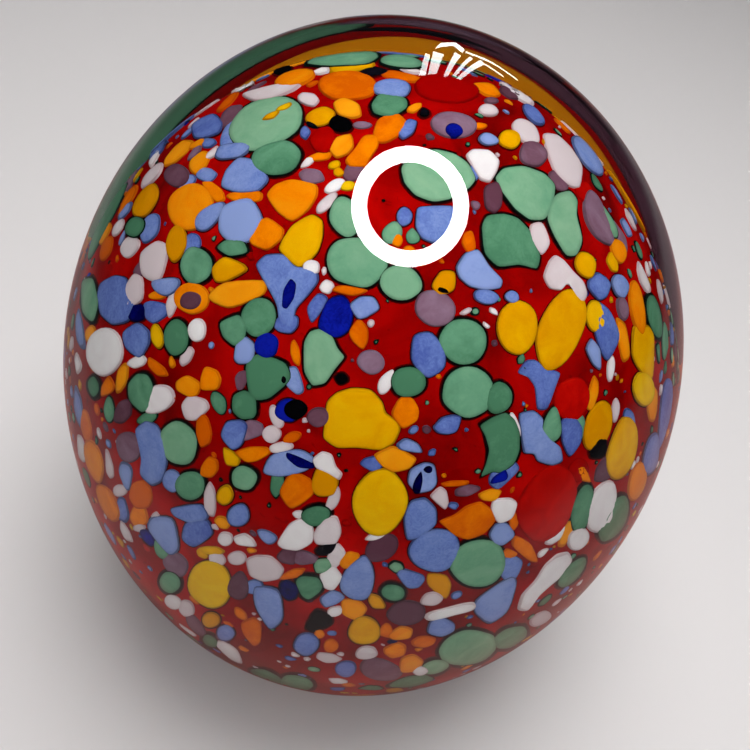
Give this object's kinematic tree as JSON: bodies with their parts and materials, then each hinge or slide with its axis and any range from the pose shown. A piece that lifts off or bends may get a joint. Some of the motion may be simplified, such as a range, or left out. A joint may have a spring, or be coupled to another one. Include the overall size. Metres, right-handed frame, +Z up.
{
  "type": "glass paperweight",
  "caption": "Egg-shaped cased glass paperweight: multicoloured chips fused on a red core inside thick clear crystal, on a small flat ground base.",
  "frame": {"origin": "centre of the flat ground base, on the surface that the paperweight stands on", "axes": "+Z up along the egg's axis; -Y towards the side that is looked at from in front; +X to that viewer's right"},
  "size_m": [0.075, 0.075, 0.087],
  "materials": {
    "clear_crystal": "fire-polished, clear",
    "ruby_glass": "deep red, opaque, smooth",
    "gather_glass": "clear, sealed inside",
    "green_glass": "opaque fused glass chip, smooth",
    "blue_glass": "opaque fused glass chip, smooth",
    "yellow_glass": "opaque fused glass chip, smooth",
    "orange_glass": "opaque fused glass chip, smooth",
    "white_glass": "opaque fused glass chip, smooth",
    "red_glass": "opaque fused glass chip, smooth",
    "mauve_glass": "opaque fused glass chip, smooth",
    "cobalt_glass": "opaque fused glass chip, smooth"
  },
  "bodies": {
    "root": {"clear_casing": "clear_crystal", "ruby_ground": "ruby_glass", "gather_core": "gather_glass", "green_chip_01": "green_glass", "green_chip_02": "green_glass", "green_chip_03": "green_glass", "green_chip_04": "green_glass", "green_chip_05": "green_glass", "green_chip_06": "green_glass", "green_chip_07": "green_glass", "green_chip_08": "green_glass", "green_chip_09": "green_glass", "green_chip_10": "green_glass", "green_chip_11": "green_glass", "green_chip_12": "green_glass", "green_chip_13": "green_glass", "green_chip_14": "green_glass", "green_chip_15": "green_glass", "green_chip_16": "green_glass", "green_chip_17": "green_glass", "green_chip_18": "green_glass", "blue_chip_01": "blue_glass", "blue_chip_02": "blue_glass", "blue_chip_03": "blue_glass", "blue_chip_04": "blue_glass", "blue_chip_05": "blue_glass", "blue_chip_06": "blue_glass", "blue_chip_07": "blue_glass", "blue_chip_08": "blue_glass", "blue_chip_09": "blue_glass", "blue_chip_10": "blue_glass", "blue_chip_11": "blue_glass", "blue_chip_12": "blue_glass", "yellow_chip_01": "yellow_glass", "yellow_chip_02": "yellow_glass", "yellow_chip_03": "yellow_glass", "yellow_chip_04": "yellow_glass", "yellow_chip_05": "yellow_glass", "yellow_chip_06": "yellow_glass", "yellow_chip_07": "yellow_glass", "orange_chip_01": "orange_glass", "orange_chip_02": "orange_glass", "orange_chip_03": "orange_glass", "orange_chip_04": "orange_glass", "orange_chip_05": "orange_glass", "orange_chip_06": "orange_glass", "white_chip_01": "white_glass", "white_chip_02": "white_glass", "white_chip_03": "white_glass", "white_chip_04": "white_glass", "white_chip_05": "white_glass", "white_chip_06": "white_glass", "white_chip_07": "white_glass", "red_chip_01": "red_glass", "red_chip_02": "red_glass", "red_chip_03": "red_glass", "mauve_chip_01": "mauve_glass", "mauve_chip_02": "mauve_glass", "mauve_chip_03": "mauve_glass", "cobalt_chip_01": "cobalt_glass"}
  },
  "joints": []
}
